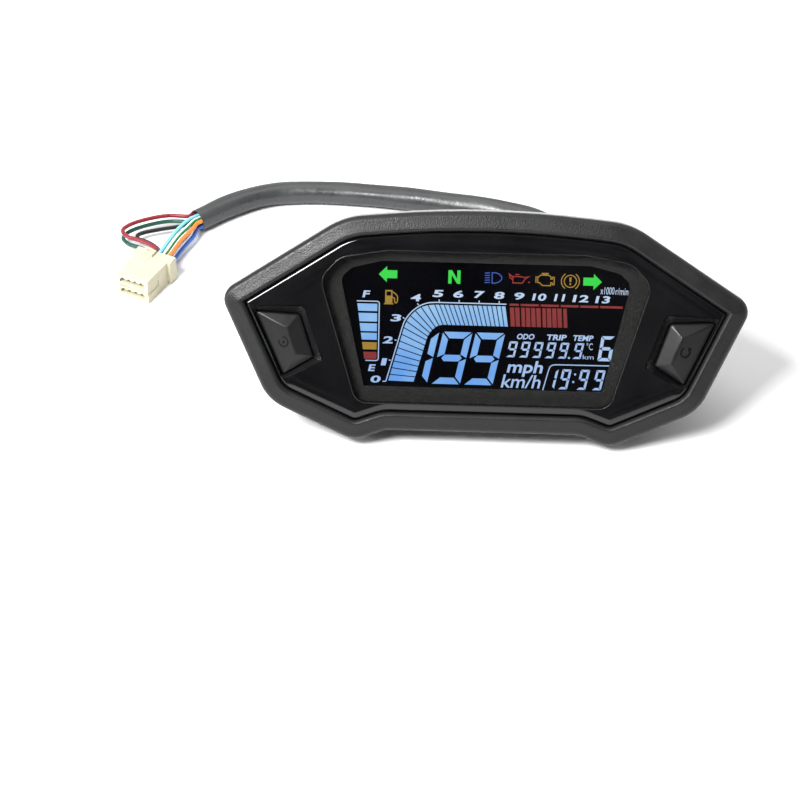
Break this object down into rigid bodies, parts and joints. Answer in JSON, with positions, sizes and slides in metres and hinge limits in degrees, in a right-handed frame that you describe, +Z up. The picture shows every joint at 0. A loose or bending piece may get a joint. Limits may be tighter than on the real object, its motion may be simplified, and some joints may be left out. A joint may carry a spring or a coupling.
{
  "type": "motorcycle instrument cluster",
  "caption": "Six-sided digital motorcycle dash with a display behind a glossy lens, a push button at each end, a tapered rear cup and a short wiring harness.",
  "frame": {"origin": "centre of the case's footprint on the surface it stands on, harness left out", "axes": "+X across the face to the viewer's right, -Y towards the viewer, +Z up; the face leans back 28 degrees"},
  "size_m": [0.2577, 0.1701, 0.0838],
  "materials": {
    "bezel_plastic": "fine-grained black moulded plastic",
    "housing_plastic": "black moulded plastic, fine spark grain",
    "lens": "polished, back-printed black around a clear window",
    "mask_plastic": "dark textured plastic",
    "button_plastic": "satin black plastic",
    "lcd_glass": "dark, smooth",
    "white_plastic": "white moulded plastic",
    "black_plastic": "black moulded plastic",
    "led_package": "clear resin on white",
    "board": "green solder resist",
    "ribbon": "amber film",
    "zinc_steel": "zinc plated",
    "can_metal": "drawn can",
    "rubber": "matt moulded rubber",
    "sleeve_vinyl": "soft semi-gloss vinyl sleeve",
    "nylon": "ivory nylon",
    "wire_red": "coloured vinyl insulation",
    "wire_dark_green": "coloured vinyl insulation",
    "wire_black": "coloured vinyl insulation",
    "wire_sky_blue": "coloured vinyl insulation",
    "wire_green": "coloured vinyl insulation",
    "wire_brown": "coloured vinyl insulation",
    "wire_orange": "coloured vinyl insulation",
    "wire_blue": "coloured vinyl insulation"
  },
  "bodies": {
    "cluster": {"backlight_led_left": "led_package", "backlight_led_right": "led_package", "board_header": "nylon", "board_screw_1": "zinc_steel", "board_screw_2": "zinc_steel", "board_screw_3": "zinc_steel", "board_screw_4": "zinc_steel", "case_screw_1": "zinc_steel", "case_screw_2": "zinc_steel", "case_screw_3": "zinc_steel", "case_screw_4": "zinc_steel", "case_screw_5": "zinc_steel", "case_screw_6": "zinc_steel", "crystal_can": "can_metal", "display_mask": "mask_plastic", "filter_capacitor": "can_metal", "front_bezel": "bezel_plastic", "front_lens": "lens", "harness_connector": "nylon", "harness_grommet": "rubber", "harness_sleeve": "sleeve_vinyl", "header_plug": "nylon", "housing_seal": "rubber", "inner_lead": "sleeve_vinyl", "lcd_frame": "white_plastic", "lcd_glass": "lcd_glass", "lcd_ribbon": "ribbon", "light_guide": "white_plastic", "main_board": "board", "microcontroller": "black_plastic", "mounting_stud_left": "zinc_steel", "mounting_stud_right": "zinc_steel", "rear_housing": "housing_plastic", "stud_damper_left": "rubber", "stud_damper_right": "rubber", "stud_nut_left": "zinc_steel", "stud_nut_right": "zinc_steel", "switch_body_left": "black_plastic", "switch_body_right": "black_plastic", "telltale_box": "black_plastic", "telltale_led_1": "led_package", "telltale_led_2": "led_package", "telltale_led_3": "led_package", "telltale_led_4": "led_package", "telltale_led_5": "led_package", "telltale_led_6": "led_package", "telltale_led_7": "led_package", "voltage_regulator": "black_plastic", "wire_black": "wire_black", "wire_blue": "wire_blue", "wire_brown": "wire_brown", "wire_dark_green": "wire_dark_green", "wire_green": "wire_green", "wire_orange": "wire_orange", "wire_red": "wire_red", "wire_sky_blue": "wire_sky_blue"},
    "button_left": {"button_left": "button_plastic", "switch_plunger_left": "white_plastic"},
    "button_right": {"button_right": "button_plastic", "switch_plunger_right": "white_plastic"}
  },
  "joints": [
    {"name": "button_left_press", "type": "slide", "parent": "cluster", "child": "button_left", "axis": [0, 0.8829, -0.4695], "range_m": [0, 0.001], "stiffness_N_per_m": 1500},
    {"name": "button_right_press", "type": "slide", "parent": "cluster", "child": "button_right", "axis": [0, 0.8829, -0.4695], "range_m": [0, 0.001], "stiffness_N_per_m": 1500}
  ]
}
